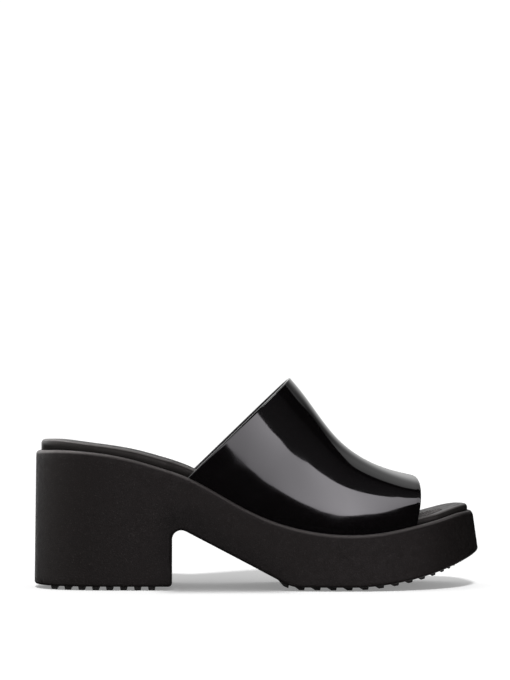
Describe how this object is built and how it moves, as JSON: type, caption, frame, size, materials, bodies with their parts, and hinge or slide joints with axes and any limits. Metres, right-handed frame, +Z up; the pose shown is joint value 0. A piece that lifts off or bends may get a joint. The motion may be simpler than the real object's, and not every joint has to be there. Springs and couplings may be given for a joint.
{
  "type": "slide sandal",
  "caption": "Right slide sandal with one wide glossy band over the foot, a raised-edge insole and a matte foam platform sole with a block heel.",
  "frame": {"origin": "on the ground, under the middle of the sole's length and width", "axes": "+X towards the toe, +Y towards the inner side of the foot, +Z up"},
  "size_m": [0.2498, 0.0897, 0.1174],
  "materials": {
    "sole_foam": "matte speckled foam",
    "tread_rubber": "matte",
    "insole_foam": "satin",
    "upper_gloss": "high gloss"
  },
  "bodies": {
    "root": {"sole": "sole_foam", "heel_tread": "tread_rubber", "forefoot_tread": "tread_rubber", "insole": "insole_foam", "upper": "upper_gloss"}
  },
  "joints": []
}
